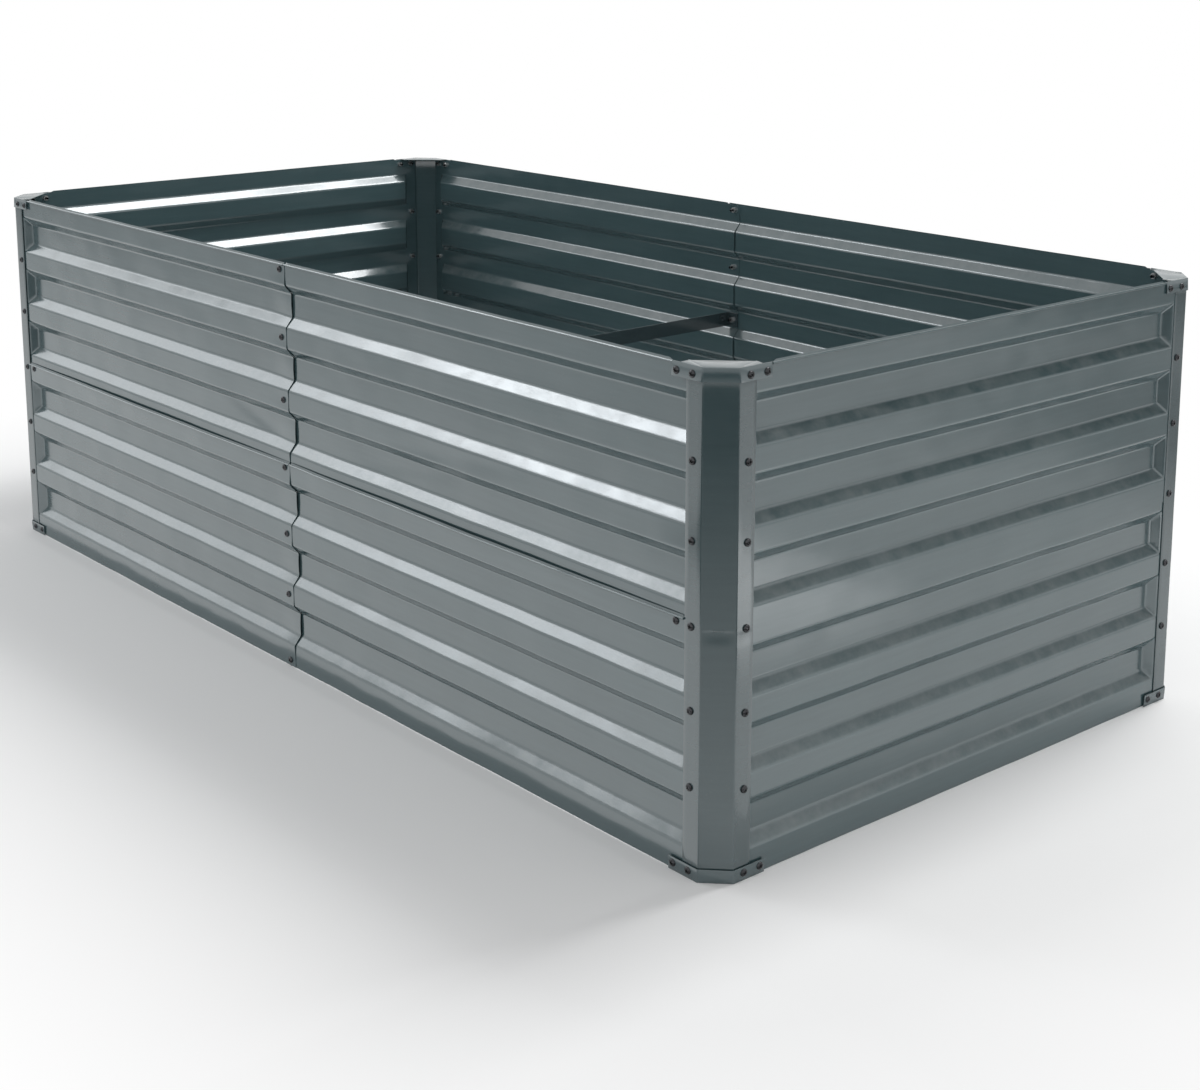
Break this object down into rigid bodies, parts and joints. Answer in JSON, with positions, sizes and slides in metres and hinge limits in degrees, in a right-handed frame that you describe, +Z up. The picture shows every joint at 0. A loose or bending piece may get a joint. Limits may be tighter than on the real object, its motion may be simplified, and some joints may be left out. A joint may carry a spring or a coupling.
{
  "type": "raised garden bed",
  "caption": "Long rectangular open-bottomed raised garden bed of ribbed coated steel panels, bolted to folded corner posts with corner caps and feet.",
  "frame": {"origin": "on the ground, under the middle of the bed", "axes": "+X along the long walls, +Y towards the back long wall, +Z up"},
  "size_m": [1.8354, 0.9204, 0.61],
  "materials": {
    "panel_coating": "gloss-coated galvanised sheet, slate grey",
    "post_coating": "gloss-coated galvanised sheet, slate grey",
    "bracket_coating": "gloss-coated galvanised sheet, slate grey",
    "brace_steel": "gloss-coated flat bar, slate grey",
    "bolt_nickel": "polished black nickel plate",
    "nut_zinc": "bright zinc plate"
  },
  "bodies": {
    "root": {"front_panel_lower_left": "panel_coating", "front_panel_lower_right": "panel_coating", "front_panel_upper_left": "panel_coating", "front_panel_upper_right": "panel_coating", "back_panel_lower_left": "panel_coating", "back_panel_lower_right": "panel_coating", "back_panel_upper_left": "panel_coating", "back_panel_upper_right": "panel_coating", "right_panel_lower": "panel_coating", "right_panel_upper": "panel_coating", "left_panel_lower": "panel_coating", "left_panel_upper": "panel_coating", "corner_post_front_left": "post_coating", "corner_post_front_right": "post_coating", "corner_post_back_right": "post_coating", "corner_post_back_left": "post_coating", "corner_cap_front_left": "bracket_coating", "corner_cap_front_right": "bracket_coating", "corner_cap_back_right": "bracket_coating", "corner_cap_back_left": "bracket_coating", "corner_foot_front_left": "bracket_coating", "corner_foot_front_right": "bracket_coating", "corner_foot_back_right": "bracket_coating", "corner_foot_back_left": "bracket_coating", "cross_brace_upper": "brace_steel", "cross_brace_lower": "brace_steel", "corner_bolts_front_left": "bolt_nickel", "corner_bolts_front_right": "bolt_nickel", "corner_bolts_back_right": "bolt_nickel", "corner_bolts_back_left": "bolt_nickel", "seam_bolts_front": "bolt_nickel", "seam_bolts_back": "bolt_nickel", "corner_nuts_front_left": "nut_zinc", "corner_nuts_front_right": "nut_zinc", "corner_nuts_back_right": "nut_zinc", "corner_nuts_back_left": "nut_zinc", "seam_nuts_front": "nut_zinc", "seam_nuts_back": "nut_zinc"}
  },
  "joints": []
}
